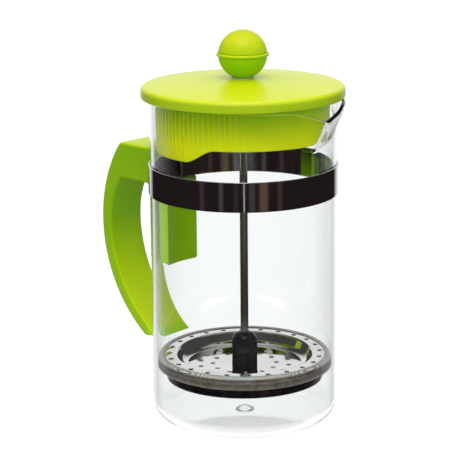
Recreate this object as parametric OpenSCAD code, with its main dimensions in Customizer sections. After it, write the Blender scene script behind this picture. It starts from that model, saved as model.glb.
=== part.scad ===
// Plunger coffee maker: a glass beaker in a steel band with a side handle,
// a domed lid that stands on the rim, and a rod that carries a ball knob
// and a steel filter stack. The axis is Z, the table is z = 0, the spout
// points along +X and the handle along -X.

/* [Beaker] */
// Outer diameter of the glass
beaker_d = 100.5; // [98:0.5:104]
// Height of the rim above the table
beaker_h = 176.8; // [172:0.2:182]
// Thickness of the glass wall
glass_t = 2.1; // [1.8:0.1:2.4]
// Thickness of the glass floor
floor_t = 2.2; // [1.8:0.1:3]
// Radius of the outer corner between wall and floor
corner_r = 9; // [7:0.5:11]
// How far the spout's tip stands out from the wall
spout_reach = 9.6; // [6:0.2:11]
// How far the spout's tip drops below the rim
spout_drop = 5.8; // [3:0.2:8]
// Depth below the rim at which the spout's keel starts
spout_depth = 23.5; // [20:0.5:28]

/* [Band and handle] */
// Thickness of the steel band
band_t = 0.8; // [0.6:0.1:0.9]
// Width of the steel band
band_h = 15.8; // [14:0.2:16]
// Height of the band's lower edge above the table
band_z = 125.4; // [125.2:0.1:126]
// Width of the handle across its two sides
handle_w = 24.4; // [22:0.2:28]
// Distance from the axis to the back of the grip
grip_reach = 99.7; // [96:0.5:104]
// Thickness of the grip at its widest point
grip_t = 7.4; // [6.5:0.1:9]
// Distance from the axis to the back of the leg that lies on the glass
leg_reach = 60.8; // [58:0.2:62]
// Height of the leg's lower end
leg_z = 77.5; // [70:0.5:85]

/* [Lid] */
// Diameter of the lid's cover
lid_d = 109; // [107:0.5:112]
// Height of the cover's edge
lid_edge_h = 5.6; // [5:0.2:7]
// Rise of the cover's dome from its edge to its middle
lid_dome = 4; // [2:0.5:5]
// Outer diameter of the skirt that hangs inside the glass
skirt_d = 92.6; // [90:0.2:94]
// Length of the plain part of the skirt below the rim
skirt_h = 20.6; // [16:0.5:24]
// Extra length of the skirt at the middle of its lobe
lobe_h = 7.2; // [4:0.2:9]
// Direction in which the lobe points
lobe_angle = -109; // [-180:1:180]
// Number of fine ribs on the lobe
rib_count = 33; // [11:2:35]

/* [Plunger] */
// Diameter of the rod
rod_d = 4.4; // [4:0.2:5]
// Diameter of the ball knob
knob_d = 26.2; // [24:0.2:30]
// Height of the ball's middle above the table
knob_z = 199.6; // [199.2:0.1:201]
// Height of the filter's lower rim above the table
filter_z = 22.5; // [20:0.5:24]
// Outer diameter of the filter's sprung rim
filter_d = 95.5; // [95:0.1:95.6]
// Distance across the corners of the eight-sided hub
hub_d = 14.9; // [13:0.1:15.5]
// Number of holes round the flat rim of the top plate
rim_holes = 24; // [12:2:30]

/* [Hidden] */
$fn = 96;

// Clearances
fit_gap = 0.15;
running_gap = 0.05;
stack_gap = 0.05;

// Beaker
beaker_r = beaker_d / 2;
bore_r = beaker_r - glass_t;
inner_corner_r = corner_r - glass_t;
spout_span = 60;
lip_span = 24;
lip_soft = 3;
spout_z = beaker_h - spout_depth;
tip_z = beaker_h - spout_drop;
wall_top = spout_z - 3;
wall_steps = 14;
wall_sides = 90;
joint_gap = 0.06;
nub_r = 6;
nub_h = 1.6;

// Band
band_in = beaker_r + 0.05;
band_out = band_in + band_t;
ear_gap = 1.2;
ear_reach = 66.8;
ear_hole_x = 61.5;
band_mid = band_z + band_h / 2;

// Handle, as a side profile of distance from the axis against height
head_low = 122.2;
head_top = 143;
grip_r = 77.2;
grip_mid = 96.4;
grip_in_r = 70.8;
grip_in_top_r = 45;
grip_in = grip_reach - grip_t;
grip_low_out = 32.8;
grip_low_in = 34.2;
leg_corner = 4;
head_fillet = 3;
slot_half = 3.2;

// Clamp screw and its square nut
screw_r = 2;
screw_head_r = 3.8;
screw_head_h = 2.6;
screw_seat = 8.4;
screw_tip = -7.6;
nut_w = 7;
nut_h = 3.2;

// Lid
lid_r = lid_d / 2;
lid_low = beaker_h + 0.6;
lid_edge = lid_low + lid_edge_h;
lid_top = lid_edge + lid_dome;
lid_skin = 2.2;
flange_low = beaker_h + 0.3;
flange_t = 1.8;
flange_r = lid_r - 2.6;
skirt_r = skirt_d / 2;
skirt_t = 1.8;
skirt_low = beaker_h - skirt_h;
lobe_low = skirt_low - lobe_h;
lobe_half = 44;
lobe_flat = 21;
rib_pitch = 3.6;
rib_w = 0.8;
rib_out = 0.35;
dome_r = (pow(lid_r, 2) + pow(lid_dome, 2)) / (2 * lid_dome);

// Bush in the middle of the lid
bush_r = 4.2;
bush_low = 167;
bush_flange_r = 5.6;
bush_flange_t = 1.4;
bush_top = lid_top + 0.2;
boss_r = 7.4;
boss_low = 169;

// Knob
knob_r = knob_d / 2;
knob_base_r = 6;
knob_base_z = bush_top + 0.3;
knob_wall = 2.2;
bead_r = knob_r + 1;
bead_h = 2;
knob_split = knob_z + bead_h / 2;
insert_r = 4;
insert_low = knob_base_z + 2;
insert_top = knob_z + 2;

// Rod
rod_r = rod_d / 2;
rod_low = 38;
rod_top = knob_z;

// Filter stack, from the bottom up
cross_t = 0.75;
cross_top = filter_z + 4.85;
cross_r = 44;
cross_foot_r = 42.9;
cross_ring = 8;
cross_arm = 9;
mesh_t = 0.3;
mesh_low = cross_top + stack_gap;
plate_t = 0.6;
plate_floor = mesh_low + mesh_t + stack_gap;
plate_rim = filter_z + 11.8;
plate_r = 46;
well_top_r = 37.9;
well_low_r = 34.6;
rim_hole_r = 1.3;
rim_hole_ring = 41.5;
floor_hole_r = 1.25;
floor_rings = [[12, 17.5], [16, 24.5]];
coil_r = 3.15;
coil_wall = 0.4;
coil_ring = 44.1;
coil_z = filter_z + 8.55;
fold_big = 3.75;
fold_small = 2.2;
fold_big_ring = filter_d / 2 - fold_big;
fold_small_ring = filter_d / 2 - fold_small - 0.3;
fold_big_z = mesh_low + fold_big;
fold_small_z = plate_rim - 0.9;
fold_edge = 45.2;
stud_r = 2.1;
stud_top = 36.6;
stud_head_r = 5;
stud_head_t = 1.1;

// Hub
hub_r = hub_d / 2;
hub_low = plate_floor + plate_t + stack_gap;
hub_shoulder = 40.4;
hub_top = 46.4;
hub_sides = 8;
hub_nose_r = 3.8;

// An angle without its sign, rounded off near 0
function soft(a) = sqrt(a * a + lip_soft * lip_soft) - lip_soft;
// A share of 1 at angle 0 that falls in a V to 0 at the angle half
function vee(a, half, power) = abs(a) < half ? pow(1 - soft(a) / soft(half), power) : 0;
// How far up the keel a height lies, from 0 to 1 at the tip
function keel_share(z) = max(0, min(1.15, (z - spout_z) / (tip_z - spout_z)));
// The spout grows wider towards the rim
function spout_half(z) = max(1, spout_span * pow(keel_share(z), 0.7));
function spout_out(a, z) = spout_reach * keel_share(z) * vee(a, spout_half(z), 1.35);
function lip_z(a) = beaker_h - spout_drop * vee(a, lip_span, 1.6);
function wall_z(i, a) = wall_top - 1 + (lip_z(a) - wall_top + 1) * i / wall_steps;
function wall_angle(k) = let (t = k / wall_sides * 2 - 1) 180 * (0.35 * t + 0.65 * t * t * t);
function wall_point(i, k, r) =
  let (a = wall_angle(k), z = wall_z(i, a), q = r + spout_out(a, z)) [q * cos(a), q * sin(a), z];

// Share of the lobe's length at an angle from its middle: all of it on the flat, then down to none
function lobe_share(a) = (1 + cos(180 * max(0, min(1, (abs(a) - lobe_flat) / (lobe_half - lobe_flat))))) / 2;
// Height of the skirt's lower edge at an angle from the middle of the lobe
function lobe_z(a) = skirt_low - lobe_h * lobe_share(a);

// Upper part of the glass wall, with the spout drawn out of it
module spouted_wall() {
  n = wall_sides;
  outer = [for (i = [0 : wall_steps]) for (k = [0 : n - 1]) wall_point(i, k, beaker_r - joint_gap)];
  inner = [for (i = [0 : wall_steps]) for (k = [0 : n - 1]) wall_point(i, k, bore_r + 2 * joint_gap)];
  base = len(outer);
  top = wall_steps * n;
  outer_faces = [for (i = [0 : wall_steps - 1]) for (k = [0 : n - 1])
    let (p = i * n + k, q = i * n + (k + 1) % n) each [[p, p + n, q], [q, p + n, q + n]]];
  inner_faces = [for (i = [0 : wall_steps - 1]) for (k = [0 : n - 1])
    let (p = base + i * n + k, q = base + i * n + (k + 1) % n) each [[p, q, p + n], [q, q + n, p + n]]];
  rim_faces = [for (k = [0 : n - 1])
    let (p = top + k, q = top + (k + 1) % n) each [[p, base + p, q], [q, base + p, base + q]]];
  foot_faces = [for (k = [0 : n - 1])
    let (p = k, q = (k + 1) % n) each [[p, q, base + p], [q, base + q, base + p]]];
  polyhedron(concat(outer, inner), concat(outer_faces, inner_faces, rim_faces, foot_faces));
}

// Half section of the lower glass: wall, rounded corner and floor
module glass_section() {
  difference() {
    union() {
      square([beaker_r - corner_r, wall_top]);
      translate([0, corner_r]) square([beaker_r, wall_top - corner_r]);
      translate([beaker_r - corner_r, corner_r]) circle(corner_r);
    }
    translate([0, floor_t]) square([bore_r - inner_corner_r, wall_top]);
    translate([0, floor_t + inner_corner_r]) square([bore_r, wall_top]);
    translate([bore_r - inner_corner_r, floor_t + inner_corner_r]) circle(inner_corner_r);
    translate([-2 * beaker_r, -1]) square([2 * beaker_r, beaker_h]);
  }
}

module beaker() {
  nub_sphere = (nub_r * nub_r + nub_h * nub_h) / (2 * nub_h);
  color("lightcyan", 0.4) {
    rotate_extrude() glass_section();
    spouted_wall();
    intersection() {
      translate([0, 0, floor_t + nub_h - nub_sphere]) sphere(nub_sphere);
      translate([0, 0, floor_t / 2]) cylinder(h = floor_t, r = nub_r);
    }
  }
}

// Steel strip round the glass, its two ends bent out as ears for the screw
module clamp_band() {
  color("silver") {
    difference() {
      translate([0, 0, band_z]) cylinder(h = band_h, r = band_out);
      translate([0, 0, band_z - 1]) cylinder(h = band_h + 2, r = band_in);
      translate([-band_out - 1, -ear_gap - band_t / 2, band_z - 1])
        cube([band_out, 2 * ear_gap + band_t, band_h + 2]);
    }
    for (s = [-1, 1]) {
      difference() {
        translate([-ear_reach, s > 0 ? ear_gap : -ear_gap - band_t, band_z])
          cube([ear_reach - band_in, band_t, band_h]);
        translate([-ear_hole_x, 0, band_mid]) rotate([90, 0, 0])
          cylinder(h = 8, r = screw_r + 0.2, center = true);
      }
    }
  }
}

// The room for fingers between the leg and the grip
module finger_room() {
  intersection() {
    translate([grip_in - grip_in_r, grip_mid]) circle(grip_in_r);
    square([grip_reach, grip_mid]);
  }
  intersection() {
    translate([grip_in - grip_in_top_r, grip_mid]) circle(grip_in_top_r);
    translate([0, grip_mid - 1]) square([grip_reach, head_low - grip_mid + 1]);
  }
}

// Side profile of the handle: head, grip with a free lower end, and leg
module handle_profile() {
  difference() {
    intersection() {
      translate([grip_reach - grip_r, grip_mid]) circle(grip_r);
      polygon([
        [45, head_top], [grip_reach, head_top], [grip_reach, grip_low_out - 0.6],
        [66.3, grip_low_out], [56, grip_low_in], [50, grip_low_in + 0.8], [45, head_low]
      ]);
    }
    finger_room();
  }
  difference() {
    translate([45, leg_z]) square([leg_reach - 45, head_low - leg_z + 1]);
    difference() {
      translate([leg_reach - leg_corner, leg_z - 1]) square([leg_corner + 1, leg_corner + 1]);
      translate([leg_reach - leg_corner, leg_z + leg_corner]) circle(leg_corner);
    }
  }
  difference() {
    translate([leg_reach - 1, head_low - head_fillet]) square([head_fillet + 1, head_fillet + 1]);
    translate([leg_reach + head_fillet, head_low - head_fillet]) circle(head_fillet);
  }
}

module handle() {
  color("yellowgreen")
  difference() {
    translate([0, handle_w / 2, 0]) mirror([1, 0, 0]) rotate([90, 0, 0])
      linear_extrude(handle_w) handle_profile();
    // Seat on the glass, and the recess that the band runs through
    cylinder(h = beaker_h, r = beaker_r + fit_gap);
    translate([0, 0, band_z - 0.5]) cylinder(h = band_h + 0.8, r = band_out + fit_gap);
    // Slot for the band's ears
    translate([-ear_reach - 0.7, -slot_half, band_z - 0.5]) cube([20, 2 * slot_half, band_h + 0.8]);
    // Way for the screw, with the seat of its head on one side
    translate([-ear_hole_x, 0, band_mid]) rotate([-90, 0, 0])
      cylinder(h = handle_w, r = screw_r + 0.2);
    translate([-ear_hole_x, screw_seat, band_mid]) rotate([-90, 0, 0])
      cylinder(h = handle_w, r = screw_head_r + 0.3);
    translate([-ear_hole_x, 0, band_mid]) rotate([90, 0, 0])
      cylinder(h = -screw_tip + 0.6, r = screw_r + 0.2);
    // Pocket for the square nut, open to the slot
    translate([-ear_hole_x - nut_w / 2 - 0.1, -slot_half - nut_h - 0.1, band_mid - nut_w / 2 - 0.1])
      cube([nut_w + 0.2, nut_h + 0.2, nut_w + 0.2]);
  }
}

module clamp_screw() {
  color("silver")
  translate([-ear_hole_x, 0, band_mid]) rotate([-90, 0, 0])
  difference() {
    union() {
      translate([0, 0, screw_tip]) cylinder(h = screw_seat - screw_tip + 0.5, r = screw_r);
      translate([0, 0, screw_seat]) cylinder(h = screw_head_h, r = screw_head_r);
    }
    for (a = [0, 90])
      rotate(a) translate([-2.4, -0.45, screw_seat + screw_head_h - 1.4]) cube([4.8, 0.9, 2]);
  }
}

module clamp_nut() {
  color("silver")
  difference() {
    translate([-ear_hole_x - nut_w / 2, -slot_half - nut_h, band_mid - nut_w / 2])
      cube([nut_w, nut_h, nut_w]);
    translate([-ear_hole_x, 0, band_mid]) rotate([90, 0, 0]) cylinder(h = 20, r = screw_r + 0.03);
  }
}

// Half section of the cover: a domed skin with an edge wall and a middle boss
module cover_section() {
  edge_round = 2.6;
  difference() {
    intersection() {
      translate([0, lid_top - dome_r]) circle(dome_r, $fn = 720);
      square([lid_r, lid_top + 1]);
      union() {
        translate([0, lid_low]) square([lid_r, lid_edge - lid_low - edge_round + 0.4]);
        translate([0, lid_low]) square([lid_r - edge_round, lid_top]);
        translate([lid_r - edge_round, lid_edge - edge_round + 0.4]) circle(edge_round);
        translate([0, boss_low]) square([boss_r, lid_low]);
      }
    }
    // Hollow under the skin, with the insert's flange at its foot
    difference() {
      intersection() {
        translate([0, lid_top - lid_skin - dome_r]) circle(dome_r, $fn = 720);
        translate([0, lid_low - 1]) square([flange_r + fit_gap, lid_top]);
      }
      square([boss_r, lid_top]);
    }
    // Way for the bush and its flange
    square([bush_r + running_gap, lid_top + 1]);
    translate([0, bush_top - bush_flange_t - 0.05]) square([bush_flange_r + 0.1, 10]);
  }
}

module lid_cover() {
  color("yellowgreen") rotate_extrude() cover_section();
}

// What is left of the skirt below its top, seen along the lobe's direction
module skirt_outline() {
  step = lobe_half / 14;
  wide = skirt_r + 5;
  polygon(concat(
    [[-wide, skirt_low]],
    [for (k = [-14 : 14]) [skirt_r * sin(k * step), lobe_z(k * step)]],
    [[wide, skirt_low], [wide, beaker_h], [-wide, beaker_h]]
  ));
}

// Ribs on the lobe's outside, each ending just above the skirt's lower edge
module lobe_ribs() {
  for (k = [0 : rib_count - 1]) {
    a = (k - (rib_count - 1) / 2) * rib_pitch;
    low = lobe_z(a) + 1;
    rotate(a) translate([skirt_r - 0.5, -rib_w / 2, low])
      cube([0.5 + rib_out, rib_w, flange_low - 1.5 - low]);
  }
}

module lid_insert() {
  color("yellowgreen") {
    difference() {
      union() {
        translate([0, 0, flange_low]) cylinder(h = flange_t, r = flange_r);
        translate([0, 0, lobe_low - 1]) cylinder(h = flange_low + 1.5 - lobe_low, r = skirt_r);
      }
      translate([0, 0, lobe_low - 2])
        cylinder(h = flange_low - lobe_low + 2, r = skirt_r - skirt_t);
      cylinder(h = 2 * beaker_h, r = boss_r + fit_gap);
      // Plain lower edge at the back, and the lobe's edge at the front
      rotate(lobe_angle) {
        translate([-lid_r, -lid_r, lobe_low - 5]) cube([lid_r, 2 * lid_r, lobe_h + 5]);
        rotate([90, 0, 90]) linear_extrude(lid_r) difference() {
          translate([-lid_r, lobe_low - 5]) square([2 * lid_r, lobe_h + 8]);
          skirt_outline();
        }
      }
    }
    rotate(lobe_angle) lobe_ribs();
  }
}

module rod_bush() {
  color("whitesmoke")
  difference() {
    union() {
      translate([0, 0, bush_low]) cylinder(h = bush_top - bush_low, r = bush_r);
      translate([0, 0, bush_top - bush_flange_t]) cylinder(h = bush_flange_t, r = bush_flange_r);
    }
    translate([0, 0, bush_low - 1]) cylinder(h = bush_top - bush_low + 2, r = rod_r + running_gap);
  }
}

module knob_upper() {
  color("yellowgreen")
  rotate_extrude()
  difference() {
    translate([0, knob_z]) circle(knob_r);
    translate([0, knob_z]) circle(knob_r - knob_wall);
    translate([-knob_d, knob_split - knob_d]) square([2 * knob_d, knob_d]);
    translate([-knob_d, 0]) square([knob_d, 2 * beaker_h]);
  }
}

// Lower half of the ball with the bead round its edge and a neck on the lid
module knob_lower() {
  color("yellowgreen")
  rotate_extrude()
  difference() {
    union() {
      intersection() {
        translate([0, knob_z]) circle(knob_r);
        translate([0, knob_base_z]) square([knob_d, knob_split - knob_base_z]);
      }
      translate([0, knob_base_z]) square([knob_base_r, 4]);
      translate([0, knob_z - bead_h / 2]) square([bead_r - bead_h / 2, bead_h]);
      translate([bead_r - bead_h / 2, knob_z]) circle(bead_h / 2);
    }
    // Hollow round the boss that holds the threaded insert
    difference() {
      translate([0, knob_z]) circle(knob_r - knob_wall);
      square([insert_r + 1.6, knob_z]);
    }
    translate([0, insert_low]) square([insert_r, knob_d]);
    square([rod_r + 0.2, beaker_h * 2]);
    translate([-knob_d, 0]) square([knob_d, 2 * beaker_h]);
  }
}

module knob_insert() {
  color("goldenrod")
  difference() {
    translate([0, 0, insert_low]) cylinder(h = insert_top - insert_low, r = insert_r);
    translate([0, 0, insert_low - 1]) cylinder(h = rod_top - insert_low + 1, r = rod_r + running_gap);
  }
}

module plunger_rod() {
  color("silver")
  translate([0, 0, rod_low]) cylinder(h = rod_top - rod_low, r = rod_r);
}

module filter_hub() {
  color("#202020")
  difference() {
    intersection() {
      rotate(180 / hub_sides) translate([0, 0, hub_low])
        cylinder(h = hub_top - hub_low, r = hub_r, $fn = hub_sides);
      rotate_extrude() polygon([
        [0, hub_low], [hub_r + 0.1, hub_low], [hub_r + 0.1, hub_shoulder],
        [hub_r - 1.2, hub_shoulder + 3.4], [hub_nose_r, hub_top], [0, hub_top]
      ]);
    }
    translate([0, 0, hub_low - 1]) cylinder(h = hub_top, r = rod_r + running_gap);
  }
}

// Pressed steel plate: a flat rim, a sunk floor, and holes in both
module dome_plate() {
  color("lightgray")
  difference() {
    rotate_extrude() polygon([
      [stud_r + 0.4, plate_floor], [well_low_r, plate_floor],
      [well_top_r, plate_rim], [plate_r, plate_rim],
      [plate_r, plate_rim + plate_t], [well_top_r - plate_t, plate_rim + plate_t],
      [well_low_r - plate_t, plate_floor + plate_t], [stud_r + 0.4, plate_floor + plate_t]
    ]);
    for (k = [0 : rim_holes - 1])
      rotate(k * 360 / rim_holes) translate([rim_hole_ring, 0, plate_rim - 1])
        cylinder(h = 3, r = rim_hole_r);
    for (ring = floor_rings)
      for (k = [0 : ring[0] - 1])
        rotate((k + 0.5) * 360 / ring[0]) translate([ring[1], 0, plate_floor - 1])
          cylinder(h = 3, r = floor_hole_r);
  }
}

// The outer shape of a long spring wound round the edge of the stack
module coil_spring() {
  color("gray")
  rotate_extrude()
  translate([coil_ring, coil_z])
  difference() {
    circle(coil_r);
    circle(coil_r - coil_wall);
  }
}

// Outline of the fold of mesh round the spring, shrunk by an amount
module fold_outline(shrink) {
  translate([fold_big_ring, fold_big_z]) circle(fold_big - shrink);
  translate([fold_small_ring, fold_small_z]) circle(fold_small - shrink);
}

module mesh_screen() {
  color("darkgray")
  rotate_extrude() {
    translate([stud_r + 0.4, mesh_low]) square([fold_big_ring - stud_r - 0.3, mesh_t]);
    difference() {
      fold_outline(0);
      fold_outline(mesh_t);
      square([fold_big_ring, 2 * beaker_h]);
      translate([0, plate_rim]) square([fold_edge, 10]);
    }
  }
}

// Bottom plate: a ring with a turned-down edge, four arms and a middle disc
module cross_plate() {
  color("dimgray")
  difference() {
    union() {
      rotate_extrude() polygon([
        [cross_r - cross_ring, cross_top - cross_t], [cross_r - cross_t, cross_top - cross_t],
        [cross_foot_r - cross_t, filter_z], [cross_foot_r, filter_z],
        [cross_r, cross_top], [cross_r - cross_ring, cross_top]
      ]);
      translate([0, 0, cross_top - cross_t]) cylinder(h = cross_t, r = cross_arm);
      for (a = [0, 90])
        rotate(a) translate([-cross_r + cross_ring / 2, -cross_arm / 2, cross_top - cross_t])
          cube([2 * cross_r - cross_ring, cross_arm, cross_t]);
    }
    translate([0, 0, filter_z]) cylinder(h = 10, r = stud_r + 0.05);
  }
}

module cross_stud() {
  color("silver") {
    translate([0, 0, cross_top - cross_t - stud_head_t]) cylinder(h = stud_head_t, r = stud_head_r);
    translate([0, 0, cross_top - cross_t - stud_head_t])
      cylinder(h = stud_top - cross_top + cross_t + stud_head_t, r = stud_r);
  }
}

beaker();
clamp_band();
handle();
clamp_screw();
clamp_nut();
lid_cover();
lid_insert();
rod_bush();
knob_upper();
knob_lower();
knob_insert();
plunger_rod();
filter_hub();
dome_plate();
coil_spring();
mesh_screen();
cross_plate();
cross_stud();
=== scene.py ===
import math

import bmesh
import bpy
from mathutils import Matrix, Vector
from mathutils.geometry import intersect_point_line


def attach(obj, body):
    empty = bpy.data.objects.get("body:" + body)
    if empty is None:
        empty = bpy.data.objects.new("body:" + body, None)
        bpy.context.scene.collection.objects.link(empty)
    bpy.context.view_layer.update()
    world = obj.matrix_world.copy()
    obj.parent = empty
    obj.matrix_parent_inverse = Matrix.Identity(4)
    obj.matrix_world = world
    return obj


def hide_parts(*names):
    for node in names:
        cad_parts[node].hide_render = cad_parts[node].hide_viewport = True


# The looks of a plunger coffee maker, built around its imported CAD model.
# Shapes are worked out in millimetres and stored in metres. The axis is Z, the pot
# stands at z = 0, the spout points along +X and the handle along -X.

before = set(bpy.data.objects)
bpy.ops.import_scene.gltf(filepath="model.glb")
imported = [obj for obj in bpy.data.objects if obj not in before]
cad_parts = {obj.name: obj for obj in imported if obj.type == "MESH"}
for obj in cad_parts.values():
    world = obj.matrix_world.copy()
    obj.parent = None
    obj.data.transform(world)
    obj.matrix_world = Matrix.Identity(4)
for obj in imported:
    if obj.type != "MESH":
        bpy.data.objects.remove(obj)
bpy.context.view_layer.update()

MM = 0.001
TURN = 2 * math.pi

# Beaker
GLASS_R, GLASS_T, RIM_Z = 50.25, 2.1, 176.8
BORE_R = GLASS_R - GLASS_T
FLOOR_T, CORNER_R = 2.2, 9.0
SPOUT_REACH, SPOUT_DROP, SPOUT_Z = 9.6, 5.8, 153.3
SPOUT_SPAN, LIP_SPAN, LIP_SOFT = 60.0, 24.0, 1.6
NUB_R, NUB_H = 6.0, 2.0

# Band
BAND_IN, BAND_OUT, BAND_LOW, BAND_TOP = 50.3, 51.1, 125.4, 141.2
BAND_MID = (BAND_LOW + BAND_TOP) / 2
EAR_Y, EAR_REACH, SCREW_X, SCREW_R = 1.6, 66.8, 61.5, 2.0

# Handle
HANDLE_W, HEAD_TOP, HEAD_LOW, LEG_REACH, LEG_LOW = 24.4, 143.0, 122.2, 60.8, 77.5
GRIP_MID, GRIP_EDGE = 96.4, 1.5

# Lid
LID_R, LID_LOW, LID_EDGE, LID_TOP = 54.5, 177.4, 183.0, 187.0
SKIRT_R, SKIRT_T, SKIRT_LOW = 46.3, 1.8, 156.2
LOBE_H, LOBE_FLAT, LOBE_HALF, LOBE_ANGLE = 7.2, 21.0, 44.0, -109.0
RIBS, RIB_PITCH, RIB_W, RIB_OUT = 33, 3.6, 1.6, 0.45
FLANGE_LOW, FLANGE_TOP, FLANGE_R = 177.1, 178.9, 51.9

# Plunger
KNOB_R, KNOB_Z, KNOB_BASE = 13.1, 199.6, 187.5
KNOB_SPLIT = KNOB_Z + 1.0
ROD_R = 2.2
HUB_SIDES, HUB_R, HUB_LOW, HUB_TOP = 8, 7.45, 28.4, 46.4
NOSE_R, NOSE_H, NOSE_Z = 7.6, 9.0, 38.6
PLATE_T, PLATE_FLOOR, PLATE_RIM = 0.6, 28.05, 34.6
# Holes in a ring: how many, the ring's radius, the hole's radius, and the first one's place in steps
RIM_HOLES = (24, 41.5, 1.3, 0.0)
FLOOR_HOLES = ((12, 17.5, 1.25, 0.5), (16, 24.5, 1.25, 0.5))
MESH_T, MESH_Z = 0.3, 27.55
COIL_RING, COIL_Z, COIL_TURNS = 44.1, 31.05, 150

# Studio: where its front lies round the object, its table, its lamps' aim, and its room in reflections
AZIMUTH = 43.0
TABLE_Z, TABLE_RINGS, TABLE_NEAR, TABLE_GLOW = -0.3, (0, 120, 380, 2000, 8000), 62, 380
LAMP_AIM = 100
ROOM_WHITE, ROOM_BACKDROP = (0.97, 0.985, 1.0), (0.96, 0.97, 0.98)
ROOM_CEILING, ROOM_WALL, ROOM_GAP = (0.70, 0.70, 0.70), (0.06, 0.06, 0.06), (0.60, 0.58, 0.54)
ROOM_DARK = (0.016, 0.011, 0.011)
# Each thing's turn from the middle of the front and half its width, in degrees, and its colour
ROOM_THINGS = (
    (-51.0, 4.0, (0.058, 0.030, 0.054)),
    (-27.0, 3.5, (0.070, 0.070, 0.072)),
    (-9.0, 4.0, (0.030, 0.030, 0.030)),
    (10.0, 5.0, (0.055, 0.055, 0.060)),
    (24.0, 7.0, (0.115, 0.075, 0.058)),
    (44.0, 4.0, (0.058, 0.036, 0.028)),
)


# ---------------------------------------------------------------- outlines


def arc(centre, radius, start, end, steps):
    """Points on an arc, from one angle in degrees to another."""
    turns = [math.radians(start + (end - start) * k / steps) for k in range(steps + 1)]
    return [(centre[0] + radius * math.cos(t), centre[1] + radius * math.sin(t)) for t in turns]


def rounded(corners, steps=5, closed=True):
    """An outline through (x, y, radius) corners, with each corner turned into an arc."""
    most = 0.49
    points = []
    count = len(corners)
    for i, (x, y, radius) in enumerate(corners):
        here = Vector((x, y))
        if radius == 0 or (not closed and i in (0, count - 1)):
            points.append((x, y))
            continue
        back = Vector(corners[i - 1][:2]) - here
        ahead = Vector(corners[(i + 1) % count][:2]) - here
        half = back.angle(ahead) / 2
        reach = min(radius / math.tan(half), back.length * most, ahead.length * most)
        radius = reach * math.tan(half)
        centre = here + (back.normalized() + ahead.normalized()).normalized() * (radius / math.sin(half))
        first = here + back.normalized() * reach - centre
        last = here + ahead.normalized() * reach - centre
        sweep = first.angle_signed(last)
        for k in range(steps + 1):
            spoke = first.copy()
            spoke.rotate(Matrix.Rotation(-sweep * k / steps, 2))
            points.append(tuple(centre + spoke))
    return points


def trimmed(points, length):
    """A line of points without its last length. At least a tenth of a step is left."""
    points = list(points)
    while len(points) > 2:
        last = Vector(points[-1]) - Vector(points[-2])
        if last.length > length:
            break
        length -= last.length
        points.pop()
    step = Vector(points[-1]) - Vector(points[-2])
    points[-1] = tuple(Vector(points[-1]) - step.normalized() * min(length, step.length * 0.9))
    return points


def joined(stretches, cuts, steps=6):
    """One closed outline of stretches that meet end to end. Each meeting is rounded over its own cut."""
    outline = []
    ready = []
    for stretch, before, after in zip(stretches, cuts[-1:] + cuts[:-1], cuts):
        line = trimmed(stretch, after)
        ready.append(trimmed(line[::-1], before)[::-1])
    for i, line in enumerate(ready):
        outline += line
        corner = Vector(stretches[i][-1])
        first, last = Vector(line[-1]), Vector(ready[(i + 1) % len(ready)][0])
        for k in range(1, steps):
            t = k / steps
            outline.append(tuple(first * (1 - t) ** 2 + corner * 2 * t * (1 - t) + last * t * t))
    return outline


def gap(point, first, last):
    """Distance from a point to a straight piece of line."""
    share = intersect_point_line(point, first, last)[1]
    return (point - first.lerp(last, max(0.0, min(1.0, share)))).length


def meeting(a, b, c, d):
    """Where the line from a through b meets the line from c through d."""
    first, second = b - a, d - c
    return b + first * (c - b).cross(second) / first.cross(second)


def inset(outline, depth):
    """A closed outline moved inwards. Points that would fold over in a tight corner go to its mitre."""
    if depth == 0:
        return outline
    sharpest, slack = 0.5, 0.99
    ring = [Vector(point) for point in outline]
    count = len(ring)
    side = 1 if sum(ring[i - 1].cross(ring[i]) for i in range(count)) > 0 else -1
    moved = []
    for i, point in enumerate(ring):
        before = (point - ring[i - 1]).normalized()
        after = (ring[(i + 1) % count] - point).normalized()
        way = (before + after).normalized()
        moved.append(point + Vector((-way.y, way.x)) * side * depth / max(sharpest, way.dot(after)))
    clear = [
        min(gap(point, ring[j - 1], ring[j]) for j in range(count)) > depth * slack for point in moved
    ]
    mitred = list(moved)
    for i in range(count):
        if not clear[i]:
            last = next(i - k for k in range(1, count) if clear[i - k])
            ahead = next((i + k) % count for k in range(1, count) if clear[(i + k) % count])
            mitred[i] = meeting(moved[last - 1], moved[last], moved[(ahead + 1) % count], moved[ahead])
    return [tuple(point) for point in mitred]


def even(count):
    """Angles round a full turn."""
    return [TURN * k / count for k in range(count)]


# ------------------------------------------------------------------ meshes


def grid_faces(rows, columns, wrap_rows, wrap_columns):
    """Four-cornered faces between rows of points."""
    return [
        (
            i * columns + j,
            (i + 1) % rows * columns + j,
            (i + 1) % rows * columns + (j + 1) % columns,
            i * columns + (j + 1) % columns,
        )
        for i in range(rows if wrap_rows else rows - 1)
        for j in range(columns if wrap_columns else columns - 1)
    ]


def spun(points, angle):
    """Points turned round Z by an angle in radians."""
    c, s = math.cos(angle), math.sin(angle)
    return [(x * c - y * s, x * s + y * c, z) for x, y, z in points]


def turned(profile, angles, closed):
    """Points and faces of (radius, height) points turned round Z. A profile may depend on the angle."""
    points = []
    for a in angles:
        line = profile(a) if callable(profile) else profile
        points += [(r * math.cos(a), r * math.sin(a), z) for r, z in line]
    return points, grid_faces(len(angles), len(points) // len(angles), True, closed)


def end_caps(columns, total):
    """The two faces that close a run of rings, each with the same number of points."""
    return [tuple(range(columns)), tuple(range(total - columns, total))]


def gathered(parts):
    """Points and faces of several sets as one."""
    points, faces = [], []
    for part_points, part_faces in parts:
        start = len(points)
        points += part_points
        faces += [tuple(start + v for v in face) for face in part_faces]
    return points, faces


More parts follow.
